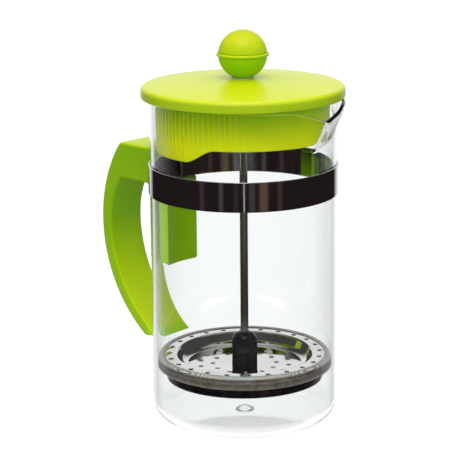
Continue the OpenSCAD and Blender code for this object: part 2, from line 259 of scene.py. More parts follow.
def mesh_of(name, points, faces, sharp=38):
    """A mesh in metres, shaded smooth across every edge that turns less than an angle in degrees."""
    mesh = bpy.data.meshes.new(name)
    mesh.from_pydata([(x * MM, y * MM, z * MM) for x, y, z in points], [], faces)
    tidy(mesh, sharp)
    return mesh


def tidy(mesh, sharp=38):
    """Merges double points, turns the faces outwards and marks the sharp edges."""
    bm = bmesh.new()
    bm.from_mesh(mesh)
    bmesh.ops.remove_doubles(bm, verts=bm.verts, dist=2e-6)
    bmesh.ops.dissolve_degenerate(bm, edges=bm.edges, dist=1e-7)
    bmesh.ops.recalc_face_normals(bm, faces=bm.faces)
    for face in bm.faces:
        face.smooth = True
    for edge in bm.edges:
        edge.smooth = edge.calc_face_angle(0) < math.radians(sharp)
    bm.to_mesh(mesh)
    bm.free()


def placed(name, data):
    """A new object in the scene."""
    obj = bpy.data.objects.new(name, data)
    bpy.context.scene.collection.objects.link(obj)
    return obj


def piece(name, mesh, node, material):
    """A shown piece that stands for one CAD node, on that node's body, with the CAD node hidden."""
    body, slot = REMADE[node]
    obj = placed(name, mesh)
    mesh.materials.append(material)
    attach(obj, body)
    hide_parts(node)
    return obj


def cut(obj, cutters):
    """Takes closed meshes away from an object, for good."""
    for k, mesh in enumerate(cutters):
        tool = placed(f"cutter_{k}", mesh)
        step = obj.modifiers.new("cut", "BOOLEAN")
        step.operation = "DIFFERENCE"
        step.solver = "EXACT"
        step.object = tool
        bpy.context.view_layer.update()
        graph = bpy.context.evaluated_depsgraph_get()
        shaped = bpy.data.meshes.new_from_object(obj.evaluated_get(graph))
        obj.modifiers.clear()
        obj.data = shaped
        bpy.data.objects.remove(tool)
    tidy(obj.data)


def cylinder(radius, low, high, centre=(0, 0), axis="Z", sides=128):
    """A closed cylinder to cut with, along Z or along Y."""
    ring = [(centre[0] + radius * math.cos(a), centre[1] + radius * math.sin(a)) for a in even(sides)]
    points = [(x, y, z) for z in (low, high) for x, y in ring]
    if axis == "Y":
        points = [(x, z, y) for x, y, z in points]
    faces = grid_faces(2, sides, False, True) + end_caps(sides, 2 * sides)
    return mesh_of("cutter", points, faces)


def block(low, high):
    """A closed box to cut with."""
    points = [(x, y, z) for x in (low[0], high[0]) for y in (low[1], high[1]) for z in (low[2], high[2])]
    faces = [(0, 1, 3, 2), (4, 6, 7, 5), (0, 4, 5, 1), (2, 3, 7, 6), (0, 2, 6, 4), (1, 5, 7, 3)]
    return mesh_of("cutter", points, faces)


def solidified(obj, thickness):
    """Gives an open sheet its thickness, half to each side."""
    wall = obj.modifiers.new("thickness", "SOLIDIFY")
    wall.thickness = thickness * MM
    wall.offset = 0


# --------------------------------------------------------------- materials


class Nodes:
    """Short ways to add nodes to a tree."""

    def __init__(self, tree):
        self.tree = tree

    def join(self, value, socket):
        """Links a socket, or sets a plain value. None leaves it alone."""
        if isinstance(value, bpy.types.NodeSocket):
            self.tree.links.new(value, socket)
        elif value is not None:
            socket.default_value = value

    def add(self, kind, *inputs, **settings):
        """A node with its settings, and its inputs in order."""
        node = self.tree.nodes.new(kind)
        for key, value in settings.items():
            setattr(node, key, value)
        for socket, value in zip(node.inputs, inputs):
            self.join(value, socket)
        return node

    def math(self, operation, *inputs):
        """The result of a sum or function."""
        return self.add("ShaderNodeMath", *inputs, operation=operation).outputs[0]

    def ramp(self, value, low, high, from_low=0.0, from_high=1.0):
        """A value moved from one span to another, held inside it."""
        return self.add("ShaderNodeMapRange", value, from_low, from_high, low, high).outputs[0]

    def mix(self, share, first, second):
        """A colour between two, by a share from 0 to 1."""
        node = self.add("ShaderNodeMix", share, data_type="RGBA")
        for socket, value in ((node.inputs[6], first), (node.inputs[7], second)):
            self.join((*value, 1.0) if isinstance(value, tuple) else value, socket)
        return node.outputs[2]


class Finish(Nodes):
    """A material on a Principled shader."""

    def __init__(self, name, **sockets):
        self.material = bpy.data.materials.new(name)
        self.material.use_nodes = True
        super().__init__(self.material.node_tree)
        self.shader = self.tree.nodes["Principled BSDF"]
        for key, value in sockets.items():
            self.shader.inputs[key.replace("_", " ")].default_value = value
        self.place = self.add("ShaderNodeTexCoord").outputs["Object"]
        self.x, self.y, self.z = self.add("ShaderNodeSeparateXYZ", self.place).outputs

    def up(self):
        """How far the surface faces up, from -1 to 1."""
        normal = self.add("ShaderNodeNewGeometry").outputs["Normal"]
        return self.add("ShaderNodeSeparateXYZ", normal).outputs[2]

    def radius(self):
        """Distance from the axis."""
        squares = [self.math("MULTIPLY", side, side) for side in (self.x, self.y)]
        return self.math("SQRT", self.math("ADD", *squares))

    def noise(self, scale, detail=3.0, stretch=(1, 1, 1), roughness=0.55):
        """Noise between 0 and 1, with scale in waves for each metre along each axis."""
        place = self.add("ShaderNodeVectorMath", self.place, stretch, operation="MULTIPLY").outputs[0]
        node = self.add("ShaderNodeTexNoise", place)
        node.inputs["Scale"].default_value = scale
        node.inputs["Detail"].default_value = detail
        node.inputs["Roughness"].default_value = roughness
        return node.outputs["Fac"]

    def clouded(self, noise, first, second, low=0.3, high=0.7):
        """A colour between two by noise, which changes over the middle of its span."""
        return self.mix(self.ramp(noise, 0.0, 1.0, low, high), first, second)

    def bump(self, height, depth):
        """Adds relief, with depth in millimetres, on top of what is there."""
        node = self.add("ShaderNodeBump")
        node.inputs["Distance"].default_value = depth * MM
        self.tree.links.new(height, node.inputs["Height"])
        normal = self.shader.inputs["Normal"]
        if normal.is_linked:
            self.tree.links.new(normal.links[0].from_socket, node.inputs["Normal"])
        self.tree.links.new(node.outputs[0], normal)

    def feed(self, socket, value):
        """Links a value to the shader."""
        self.tree.links.new(value, self.shader.inputs[socket])

    def show_mixed(self, share, other):
        """Shows a share of another shader in place of the Principled one."""
        both = self.add("ShaderNodeMixShader", share, self.shader.outputs[0], other.outputs[0])
        self.tree.links.new(both.outputs[0], self.tree.nodes["Material Output"].inputs["Surface"])


def skirt_painted_light(f):
    """Painted light: the skirt gets more of its yellower lit colour towards its lower edge and on its
    ribs.
    """
    lower_edge, upper_end = 0.157, 0.178
    rib = f.ramp(f.radius(), 0.0, 0.35, (SKIRT_R + 0.1) * MM, (SKIRT_R + RIB_OUT) * MM)
    return f.math("ADD", rib, f.ramp(f.z, 1.0, 0.0, lower_edge, upper_end))


def handle_painted_light(f):
    """Painted light from the table: the handle gets more of its yellower lit colour at its lower end."""
    tip, bow = 0.035, 0.09
    return f.ramp(f.z, 0.15, 0.0, tip, bow)


def leg_painted_light(f):
    """The leg against the glass, painted in its own brighter colour as painted light in place of the
    light that comes through the beaker.
    """
    grip, leg = -0.066, -0.058
    leg_top, head = 0.118, 0.124
    near_glass = f.ramp(f.x, 0.0, 1.0, grip, leg)
    under_head = f.ramp(f.z, 1.0, 0.0, leg_top, head)
    return f.math("MULTIPLY", near_glass, under_head)


def moulded(name, lit, shaded, span, roughness, specular, seed, extra=None, inner=None):
    """Coloured plastic with painted light: its yellower lit colour is painted on faces that look up,
    between the two slopes of span, and where the extra share says, and its shaded colour elsewhere.
    The inner pair is the share of a place painted in its own lit colour, and that colour."""
    f = Finish(name, IOR=1.46, Specular_IOR_Level=specular)
    mottle = f.ramp(f.noise(22 + seed, 2.0), -0.06, 0.04, 0.3, 0.7)
    # The share of the painted lit colour, by how far the face looks up, with a little random mottle
    share = f.math("ADD", f.ramp(f.up(), 0.0, 1.0, *span), mottle)
    if extra:
        share = f.math("ADD", share, extra(f))
    colour = f.mix(f.math("MINIMUM", share, 1.0), shaded, lit)
    if inner:
        painted_light_share, painted_light_colour = inner
        colour = f.mix(painted_light_share(f), colour, painted_light_colour)
    f.feed("Base Color", colour)
    f.feed("Roughness", f.ramp(f.noise(160, 3.0), roughness, roughness + 0.05, 0.3, 0.7))
    f.bump(f.noise(60, 1.0), 0.01)
    return f.material


def polished(name, colour, roughness, streak):
    """Polished steel: fine rolling lines along a direction, smudges and small colour changes."""
    f = Finish(name, Metallic=1.0)
    f.feed("Base Color", f.clouded(f.noise(30, 3.0), colour, tuple(c * 0.86 for c in colour)))
    f.feed("Roughness", f.ramp(f.noise(90, 4.0), roughness, roughness + 0.05, 0.45, 0.75))
    f.bump(f.noise(60, 4.0, streak, 0.7), 0.004)
    return f.material


def clear_glass():
    """Clear glass with faint waves, through which lamps shine on what stands inside."""
    tint = (0.985, 0.995, 0.99, 1)
    f = Finish("clear_glass", Base_Color=tint, Transmission_Weight=1.0, Roughness=0.0, IOR=1.47)
    f.bump(f.noise(14, 1.0, (1, 1, 0.5)), 0.12)
    path = f.add("ShaderNodeLightPath")
    through = f.add("ShaderNodeBsdfTransparent", (0.96, 0.97, 0.965, 1))
    f.show_mixed(path.outputs["Is Shadow Ray"], through)
    return f.material


def woven_steel():
    """Fine steel cloth. Its threads run along X and Y on the flat, and on round the fold at the edge."""
    pitch = 0.62 * MM
    f = Finish("woven_steel")
    radius = f.math("MAXIMUM", f.radius(), MM)
    climb = f.math("SUBTRACT", f.z, MESH_Z * MM)
    swell = f.math("DIVIDE", f.math("ADD", radius, climb), radius)
    warp, weft = [
        f.math("SINE", f.math("MULTIPLY", f.math("MULTIPLY", side, swell), math.pi / pitch))
        for side in (f.x, f.y)
    ]
    # At each crossing one thread lies on top of the other, in turn
    cross = f.math("MULTIPLY", warp, weft)
    warp_height = f.math("MULTIPLY", f.math("ABSOLUTE", warp), f.ramp(cross, 0.35, 1.0, -0.4, 0.4))
    weft_height = f.math("MULTIPLY", f.math("ABSOLUTE", weft), f.ramp(cross, 1.0, 0.35, -0.4, 0.4))
    height = f.math("ADD", warp_height, weft_height)
    cloud = f.noise(160, 3.0)
    wire = f.clouded(cloud, (0.38, 0.32, 0.25), (0.20, 0.165, 0.125), 0.35, 0.65)
    # Painted glints: bright dashes painted into the wire colour where the threads would catch light
    glint = f.ramp(f.noise(1500, 2.0, (1, 1, 0.3)), 0.0, 1.0, 0.58, 0.70)
    wire = f.mix(glint, wire, (0.85, 0.80, 0.72))
    # The cloth is painted pale and made less metallic where it faces up, as painted light on its top
    lit_from, lit_to = 0.15, 0.6
    up = f.up()
    wire = f.mix(f.ramp(up, 0.0, 1.0, lit_from, lit_to), wire, (0.97, 0.96, 0.92))
    f.feed("Metallic", f.ramp(up, 0.6, 0.1, lit_from, lit_to))
    # Between the threads the colour is painted dark, as painted shade in the gaps of the cloth
    f.feed("Base Color", f.mix(f.ramp(height, 0.0, 1.0, 0.45, 1.1), (0.09, 0.08, 0.07), wire))
    f.feed("Roughness", f.ramp(cloud, 0.26, 0.42))
    f.bump(height, 0.12)
    return f.material


def black_plastic():
    """Glossy black plastic with faint flow marks."""
    f = Finish("black_plastic", IOR=1.5)
    marks = f.noise(40, 3.0, (1, 1, 0.4))
    f.feed("Base Color", f.clouded(marks, (0.010, 0.009, 0.010), (0.018, 0.016, 0.017)))
    f.feed("Roughness", f.ramp(f.noise(220, 3.0), 0.16, 0.26, 0.3, 0.7))
    f.bump(f.noise(500, 2.0), 0.006)
    return f.material


def white_plastic():
    """Natural plastic of the bush, dull and a little uneven."""
    f = Finish("white_plastic", Subsurface_Weight=0.2, Subsurface_Scale=0.003)
    f.feed("Base Color", f.clouded(f.noise(60), (0.78, 0.77, 0.72), (0.68, 0.67, 0.61)))
    f.feed("Roughness", f.ramp(f.noise(300), 0.38, 0.5))
    f.bump(f.noise(700), 0.01)
    return f.material


def plated(name, colour, roughness):
    """Plated or turned metal of the small fasteners, with fine tool marks round its axis."""
    f = Finish(name, Metallic=1.0)
    f.feed("Base Color", f.clouded(f.noise(260), colour, tuple(c * 0.72 for c in colour)))
    f.feed("Roughness", f.ramp(f.noise(500), roughness - 0.05, roughness + 0.1, 0.3, 0.7))
    f.bump(f.noise(900, 3.0, (0.3, 0.3, 3.0)), 0.006)
    return f.material


glass = clear_glass()
band_steel = polished("band_steel", (0.74, 0.73, 0.72), 0.04, (1, 1, 40))
# The green plastics carry painted light: a yellower lit colour on faces that look up, a greener shaded
# colour elsewhere
lid_green = moulded(
    "lid_green",
    lit=(0.64, 0.72, 0.001), shaded=(0.30, 0.44, 0.001), span=(0.1, 0.95),
    roughness=0.29, specular=0.5, seed=0,
)
insert_green = moulded(
    "insert_green",
    lit=(0.76, 0.84, 0.001), shaded=(0.14, 0.36, 0.001), span=(0.15, 0.9),
    roughness=0.36, specular=0.20, seed=3, extra=skirt_painted_light,
)
knob_green = moulded(
    "knob_green",
    lit=(0.53, 0.60, 0.001), shaded=(0.20, 0.45, 0.001), span=(-0.3, 0.6),
    roughness=0.29, specular=0.30, seed=5,
)
handle_green = moulded(
    "handle_green",
    lit=(0.56, 0.72, 0.001), shaded=(0.18, 0.36, 0.001), span=(-0.05, 0.95),
    roughness=0.34, specular=0.20, seed=8, extra=handle_painted_light, inner=(leg_painted_light, (0.38, 0.72, 0.001)),
)
rod_steel = polished("rod_steel", (0.92, 0.87, 0.84), 0.20, (1, 1, 0.05))
plate_steel = polished("plate_steel", (0.90, 0.89, 0.87), 0.05, (6, 1, 1))
spring_steel = plated("spring_steel", (0.5, 0.48, 0.45), 0.25)
mesh_steel = woven_steel()
cross_steel = polished("cross_steel", (0.06, 0.055, 0.055), 0.12, (1, 6, 1))
hub_black = black_plastic()
bush_white = white_plastic()
screw_zinc = plated("screw_zinc", (0.6, 0.6, 0.62), 0.22)
insert_brass = plated("insert_brass", (0.72, 0.5, 0.2), 0.2)


# ------------------------------------------------------------------ pieces

# The body and the record's slot of each CAD node that a piece stands for
REMADE = {
    "beaker": ("beaker", "beaker_glass"),
    "clamp_band": ("beaker", "polished_steel"),
    "handle": ("beaker", "handle_plastic"),
    "lid_cover": ("lid", "lid_plastic"),
    "lid_insert": ("lid", "insert_plastic"),
    "knob_upper": ("plunger", "knob_plastic"),
    "knob_lower": ("plunger", "knob_plastic"),
    "filter_hub": ("plunger", "hub_plastic"),
    "dome_plate": ("plunger", "plate_steel"),
    "coil_spring": ("plunger", "spring_steel"),
    "mesh_screen": ("plunger", "mesh_steel"),
}
# The material of each CAD node that stays
KEPT = {
    "clamp_screw": screw_zinc,
    "clamp_nut": screw_zinc,
    "rod_bush": bush_white,
    "knob_insert": insert_brass,
    "plunger_rod": rod_steel,
    "cross_plate": cross_steel,
    "cross_stud": screw_zinc,
}


def soft(angle):
    """An angle in degrees without its sign, rounded off near 0."""
    return math.sqrt(angle * angle + LIP_SOFT * LIP_SOFT) - LIP_SOFT


def vee(angle, half, power):
    """A share of 1 at angle 0 that falls in a V to 0 at the angle half."""
    return (1 - soft(angle) / soft(half)) ** power if abs(angle) < half else 0.0


def spout_out(angle, z):
    """How far the spout stands out from the wall."""
    share = max(0.0, min(1.15, (z - SPOUT_Z) / (RIM_Z - SPOUT_DROP - SPOUT_Z)))
    half = max(1.0, SPOUT_SPAN * share**0.7)
    return SPOUT_REACH * share * vee(angle, half, 1.35)


def build_beaker():
    """Blown glass with a pushed-up base, rounded foot, nub on the floor, drawn spout and soft rim."""
    count = 360
    spread = [k / count * 2 - 1 for k in range(count)]
    # Closer together near the spout, at angle 0
    angles = [math.pi * (0.35 * t + 0.65 * t**3) for t in spread]
    foot = [(0, 0.5), (12, 0.48), (24, 0.36), (34, 0.14), (39, 0.0)]
    foot += arc((GLASS_R - CORNER_R, CORNER_R), CORNER_R, -90, 0, 12)
    # Below the bend the wall is the same all round, and above it the levels follow the lip down
    bend = 148
    plain_levels = [14, 30, 60, 90, 120, 140, bend]
    spout_levels = [150 + 0.8 * k for k in range(33)]
    inner_corner = CORNER_R - GLASS_T
    inside = arc((BORE_R - inner_corner, FLOOR_T + inner_corner), inner_corner, 0, -90, 10)
    inside += [(r, FLOOR_T) for r in (34, 24, 14, 9, 7)]
    nub = [k / 10 for k in range(10, -1, -1)]
    inside += [(NUB_R * t, FLOOR_T + NUB_H * (1 - t * t) ** 2) for t in nub]
    rim_r = GLASS_T / 2

    def profile(a):
        degrees = math.degrees(a)
        lip = RIM_Z - SPOUT_DROP * vee(degrees, LIP_SPAN, 1.6) - rim_r
        squeeze = (lip - bend) / (spout_levels[-1] - bend)
        levels = plain_levels + [bend + (z - bend) * squeeze for z in spout_levels]
        outer = [(GLASS_R + spout_out(degrees, z), z) for z in levels]
        middle = GLASS_R - rim_r + spout_out(degrees, lip)
        rim = arc((middle, lip), rim_r, 0, 180, 10)[1:-1]
        inner = [(BORE_R + spout_out(degrees, z), z) for z in levels[::-1]]
        return foot + outer + rim + inner + inside

    points, faces = turned(profile, angles, False)
    piece("glass_beaker", mesh_of("glass_beaker", points, faces, 80), "beaker", glass)


def build_band():
    """A steel strip with rolled edges, bent out into two ears that the screw pulls together."""
    bend = 1.0
    middle = (BAND_IN + BAND_OUT) / 2
    bend_y = EAR_Y + bend
    bend_x = math.sqrt((middle + bend) ** 2 - bend_y**2)
    leave = math.degrees(math.atan2(bend_y, -bend_x))
    ear = [(-EAR_REACH + k * (EAR_REACH - bend_x) / 4, EAR_Y) for k in range(4)]
    ear += arc((-bend_x, bend_y), bend, -90, leave - 180, 6)
    path = ear + arc((0, 0), middle, leave, -leave, 240)[1:-1]
    path += [(x, -y) for x, y in reversed(ear)]
    half_t, edge, flat = (BAND_OUT - BAND_IN) / 2, 0.28, 0.6
    # A plain point just past each rolled edge keeps the shading of the face between them flat
    outer = [
        (half_t, BAND_LOW, edge),
        (half_t, BAND_LOW + flat, 0),
        (half_t, BAND_TOP - flat, 0),
        (half_t, BAND_TOP, edge),
    ]
    inner = [(-x, z, radius) for x, z, radius in reversed(outer)]
    section = rounded(outer + inner, 4)
    points = []
    for i, (x, y) in enumerate(path):
        before, after = Vector(path[max(i - 1, 0)]), Vector(path[min(i + 1, len(path) - 1)])
        way = (after - before).normalized()
        points += [(x + way.y * d, y - way.x * d, z) for d, z in section]
    faces = grid_faces(len(path), len(section), False, True) + end_caps(len(section), len(points))
    obj = piece("steel_band", mesh_of("steel_band", points, faces), "clamp_band", band_steel)
    cut(obj, [cylinder(SCREW_R + 0.2, -5, 5, (-SCREW_X, BAND_MID), "Y", 48)])


def handle_outline():
    """Side outline of the handle, as distance from the axis against height, run round once."""
    # Radius and distance of the centre from the axis, for the arcs of the grip, which share one height
    back_r, back_c = 77.2, 22.5
    low_r, low_c = 70.8, 21.5
    high_r, high_c = 45.0, 47.3
    tip_out, tip_in, tip = 32.8, 34.3, (60.5, 33.6)
    # Places along the straight lines. The buried ones are cut off by the hole for the glass
    buried, leg_mid, head_mid, palm_mid = 45, 52, 70, 72

    def angle_at(z, radius):
        return math.degrees(math.asin((z - GRIP_MID) / radius))

    back = arc((back_c, GRIP_MID), back_r, angle_at(HEAD_TOP, back_r), angle_at(tip_out, back_r), 60)
    inner = arc((low_c, GRIP_MID), low_r, angle_at(tip_in, low_r), 0, 44)
    inner += arc((high_c, GRIP_MID), high_r, 0, angle_at(HEAD_LOW, high_r), 16)[1:]
    # Each stretch with the cut at its end
    stretches = [
        ([(buried, HEAD_TOP), (head_mid, HEAD_TOP), back[0]], 2.6),
        (back, 1.6),
        ([back[-1], tip, inner[0]], 1.6),
        (inner, 2.0),
        ([inner[-1], (palm_mid, HEAD_LOW), (LEG_REACH, HEAD_LOW)], 3.0),
        ([(LEG_REACH, HEAD_LOW), (LEG_REACH, 100), (LEG_REACH, LEG_LOW)], 4.0),
        ([(LEG_REACH, LEG_LOW), (leg_mid, LEG_LOW), (buried, LEG_LOW)], 3.0),
        ([(buried, LEG_LOW), (buried, 110), (buried, HEAD_TOP)], 3.0),
    ]
    lines, cuts = zip(*stretches)
    return joined(lines, cuts)


def build_handle():
    """A moulding with rounded edges, hollowed for the glass, the band, its ears and the screw."""
    outline = handle_outline()
    half_w, steps = HANDLE_W / 2, 6
    layers = [(GRIP_EDGE + 0.5, half_w)]
    for k in range(steps + 1):
        t = math.pi / 2 * k / steps
        layers.append((GRIP_EDGE * (1 - math.sin(t)), half_w - GRIP_EDGE * (1 - math.cos(t))))
    layers.append((0.0, half_w / 2))
    layers += [(depth, -y) for depth, y in reversed(layers)]
    points = []
    for depth, y in layers:
        points += [(-r, y, z) for r, z in inset(outline, depth)]
    faces = grid_faces(len(layers), len(outline), False, True) + end_caps(len(outline), len(points))
    obj = piece("handle_moulding", mesh_of("handle_moulding", points, faces), "handle", handle_green)

    low, high = BAND_LOW - 0.5, BAND_TOP + 0.3
    play, slot_x, slot_half, slot_depth = 0.15, -EAR_REACH - 0.7, 3.2, 20.0
    screw = (-SCREW_X, BAND_MID)
    shank_end, head_seat, head_r = -8.2, 8.4, 4.1
    nut_half, nut_out, nut_in = 3.6, -6.5, -3.1
    cut(obj, [
        cylinder(GLASS_R + play, 0, 200, sides=256),
        cylinder(BAND_OUT + play, low, high, sides=256),
        block((slot_x, -slot_half, low), (slot_x + slot_depth, slot_half, high)),
        cylinder(SCREW_R + 0.2, shank_end, HANDLE_W, screw, "Y", 48),
        cylinder(head_r, head_seat, HANDLE_W, screw, "Y", 64),
        block(
            (-SCREW_X - nut_half, nut_out, BAND_MID - nut_half),
            (-SCREW_X + nut_half, nut_in, BAND_MID + nut_half),
        ),
    ])


def dome(r, top):
    """Height of a dome as curved as the lid's, at a distance from the axis."""
    rise = LID_TOP - LID_EDGE
    sphere = (LID_R**2 + rise**2) / (2 * rise)
    return top - sphere + math.sqrt(sphere**2 - r * r)


def build_lid_cover():
    """The domed cover: a skin with a rounded edge wall and a boss for the bush."""
    edge_round, foot_round, skin = 2.6, 0.4, 2.2
    bush_r, bush_low, bush_top, cap_r = 4.25, 169, 185.75, 5.7
    boss_r = 7.4
    top = [(r, dome(r, LID_TOP)) for r in (5.9, 8, 12, 18, 24, 30, 36, 42, 47, 50)]
    edge = arc((LID_R - edge_round, LID_EDGE - edge_round + 0.4), edge_round, 82, 0, 8)
    foot = arc((LID_R - foot_round, LID_LOW + foot_round), foot_round, 0, -90, 4)
    inner = FLANGE_R + 0.15
    under = [(inner, LID_LOW)]
    under += [(r, dome(r, LID_TOP - skin)) for r in (inner, 46, 38, 30, 22, 14, boss_r)]
    boss = [(boss_r, 176), (boss_r, bush_low + 0.3), (boss_r - 0.3, bush_low)]
    bore = [(bush_r, bush_low), (bush_r, bush_top), (cap_r, bush_top), (cap_r, dome(6, LID_TOP) - 0.2)]
    points, faces = turned(top + edge + foot + under + boss + bore, even(256), True)
    piece("lid_dome", mesh_of("lid_dome", points, faces), "lid_cover", lid_green)


def rib_height(degrees, z, low):
    """How far a fine rib stands out from the skirt, fading towards the skirt's lower edge."""
    plain, rise = 1.0, 14
    nearest = round(degrees / RIB_PITCH)
    if abs(nearest) > (RIBS - 1) // 2:
        return 0.0
    off = abs(degrees - nearest * RIB_PITCH) / (RIB_W / 2)
    fade = min(1.0, max(0.0, (z - low - plain) / rise))
    return RIB_OUT * (0.5 + 0.5 * math.cos(math.pi * off)) * fade**0.6 if off < 1 else 0.0


def build_lid_insert():
    """The inner part of the lid: a flange on the rim, and a ribbed skirt with a lobe in the glass."""
    fine = 0.2
    span = (RIBS - 1) / 2 * RIB_PITCH + 2
    ribbed = [math.radians(-span + fine * k) for k in range(int(2 * span / fine))]
    plain = [math.radians(span + (360 - 2 * span) * k / 150) for k in range(150)]
    inner, bore = SKIRT_R - SKIRT_T, 7.55
    edge, edge_half = 0.5, 0.15
    flange = [(bore, FLANGE_LOW), (bore, FLANGE_TOP), (30, FLANGE_TOP), (FLANGE_R, FLANGE_TOP)]
    flange.append((FLANGE_R, FLANGE_LOW))
    shares = (1.0, 0.97, 0.75, 0.5, 0.3, 0.2, 0.12, 0.06, 0.0)

    def profile(a):
        degrees = (math.degrees(a) + 180) % 360 - 180
        slope = max(0.0, min(1.0, (abs(degrees) - LOBE_FLAT) / (LOBE_HALF - LOBE_FLAT)))
        low = SKIRT_LOW - LOBE_H * (1 + math.cos(math.pi * slope)) / 2
        foot = low + edge
        heights = [foot + (FLANGE_LOW - foot) * t for t in shares]
        wall = [(SKIRT_R + rib_height(degrees, z, low), z) for z in heights]
        wall += [(SKIRT_R - edge_half, low + edge_half), (SKIRT_R - edge, low)]
        back = [(inner + edge, low), (inner + edge_half, low + edge_half), (inner, foot)]
        back += [(inner, (low + FLANGE_LOW) / 2), (inner, FLANGE_LOW)]
        return wall + back + flange

    points, faces = turned(profile, ribbed + plain, True)
    points = spun(points, math.radians(LOBE_ANGLE))
    piece("lid_skirt", mesh_of("lid_skirt", points, faces), "lid_insert", insert_green)


def build_knob():
    """The ball in two halves: the lower one carries a bead round its edge and a neck on the lid."""
    wall, seam, bead, neck = 2.2, 0.18, 1.0, 6.0
    rod_r, rod_seat, insert_r, post_r = 2.4, KNOB_BASE + 2, 4.0, 5.6
    inner_r = KNOB_R - wall

    def ball(radius, start, end, steps):
        return arc((0, KNOB_Z), radius, start, end, steps)

    split = math.degrees(math.asin((KNOB_SPLIT - KNOB_Z) / KNOB_R))
    inner_split = math.degrees(math.asin((KNOB_SPLIT - KNOB_Z) / inner_r))
    upper = ball(KNOB_R, 90, split + 1.2, 40) + [(KNOB_R - seam, KNOB_SPLIT)]
    upper += ball(inner_r, inner_split, 90, 24)
    points, faces = turned(upper, even(128), False)
    piece("knob_cap", mesh_of("knob_cap", points, faces), "knob_upper", knob_green)

    lower = [(KNOB_R - seam * 1.5, KNOB_SPLIT), (KNOB_R - 0.05, KNOB_SPLIT - 0.06)]
    lower += arc((KNOB_R, KNOB_Z), bead, 80, -80, 14)
    lower += ball(KNOB_R, -5.5, -math.degrees(math.acos(neck / KNOB_R)), 36)
    lower += [(neck, KNOB_BASE + 0.5), (neck - 0.15, KNOB_BASE + 0.15), (neck - 0.5, KNOB_BASE)]
    lower += [(rod_r, KNOB_BASE), (rod_r, rod_seat)]
    lower += [(insert_r, rod_seat), (insert_r, KNOB_Z), (post_r, KNOB_Z)]
    lower += ball(inner_r, -math.degrees(math.acos(post_r / inner_r)), inner_split, 20)
    points, faces = turned(lower, even(128), True)
    piece("knob_base", mesh_of("knob_base", points, faces), "knob_lower", knob_green)


def build_hub():
    """Black eight-sided hub with a rounded shoulder."""
    corner, spacing, bore = 0.7, 0.35, ROD_R + 0.05
    turns = [a + math.pi / HUB_SIDES for a in even(HUB_SIDES)]
    corners = [(HUB_R * math.cos(a), HUB_R * math.sin(a), corner) for a in turns]
    outline = [Vector(point) for point in rounded(corners)]
    dense = []
    for here, ahead in zip(outline, outline[1:] + outline[:1]):
        steps = max(1, round((ahead - here).length / spacing))
        dense += [here.lerp(ahead, k / steps) for k in range(steps)]
    # Each level is a height and the radius of the turned shape that trims the eight sides there
    levels = [(HUB_LOW, HUB_R - 0.9), (HUB_LOW + 0.1, HUB_R - 0.6), (HUB_LOW + 0.3, HUB_R)]
    heights = [HUB_LOW + 1 + k for k in range(10)] + [NOSE_Z + 0.3 * k for k in range(26)]
    levels += [(z, NOSE_R * math.sqrt(1 - (max(0.0, z - NOSE_Z) / NOSE_H) ** 2)) for z in heights]
    levels += [(HUB_TOP - 0.15, 3.8), (HUB_TOP, 3.4), (HUB_TOP, bore + 0.1)]
    blend_width, blend_depth = 0.6, 0.15
    points = []
    for column in dense:
        line = [(bore, HUB_LOW)]
        for z, limit in levels:
            blend = max(0.0, blend_width - abs(column.length - limit)) / blend_width
            line.append((min(column.length, limit) - blend * blend * blend_depth, z))
        line.append((bore, HUB_TOP - 0.1))
        out = column.normalized()
        points += [(out.x * r, out.y * r, z) for r, z in line]
    faces = grid_faces(len(dense), len(points) // len(dense), True, True)
    piece("hub_moulding", mesh_of("hub_moulding", points, faces), "filter_hub", hub_black)


def holed_ring(holes, flare, inner, outer, height, around=240, sides=10):
    """A flat ring cut into sectors, each with a round hole whose edge stands up by a flare."""
    sectors, ring, radius, phase = holes
    # Distance past the hole's edge, and height above the sheet
    rings = [(0.0, flare), (0.16, flare * 0.9), (0.45, flare * 0.3), (0.75, 0.0)]
    across = around // sectors
    half = TURN / sectors / 2
    edge = [(inner, -half + 2 * half * k / across) for k in range(across)]
    edge += [(inner + (outer - inner) * k / sides, half) for k in range(sides)]
    edge += [(outer, half - 2 * half * k / across) for k in range(across)]
    edge += [(outer - (outer - inner) * k / sides, -half) for k in range(sides)]
    flat = [(r * math.cos(t), r * math.sin(t)) for r, t in edge]
    spokes = [math.atan2(y, x - ring) for x, y in flat]
    sector = []
    for past, lift in rings:
        r = radius + past
        sector += [(ring + r * math.cos(t), r * math.sin(t), height + lift) for t in spokes]
    sector += [(x, y, height) for x, y in flat]
    faces = grid_faces(len(rings) + 1, len(flat), False, True)
    return gathered([(spun(sector, TURN * (k + phase) / sectors), faces) for k in range(sectors)])


def build_plate():
    """Pressed top plate: a sunk floor and a flat rim, both with punched holes."""
    around = even(240)
    stud_r, first, between, last = 2.6, 14.5, (20.5, 21.5), 27.5
    rim_in, rim_out, plate_r = 39.2, 43.8, 45.8
    floor_flare, rim_flare = 0.06, -0.1
    slope = [
        (last, PLATE_FLOOR, 0),
        (34.3, PLATE_FLOOR, 8.0),
        (37.5, PLATE_RIM, 1.4),
        (rim_in, PLATE_RIM, 0),
    ]
    lip = [(rim_out, PLATE_RIM), (plate_r - 0.6, PLATE_RIM), (plate_r, PLATE_RIM - 0.1)]
    points, faces = gathered([
        turned([(r, PLATE_FLOOR) for r in (stud_r, 8, first)], around, False),
        holed_ring(FLOOR_HOLES[0], floor_flare, first, between[0], PLATE_FLOOR),
        holed_ring(FLOOR_HOLES[1], floor_flare, between[1], last, PLATE_FLOOR),
        turned([(r, PLATE_FLOOR) for r in between], around, False),
        turned(rounded(slope, 10, False), around, False),
        holed_ring(RIM_HOLES, rim_flare, rim_in, rim_out, PLATE_RIM),
        turned(lip, around, False),
    ])
    mesh = mesh_of("pressed_plate", points, faces, 50)
    solidified(piece("pressed_plate", mesh, "dome_plate", plate_steel), PLATE_T)


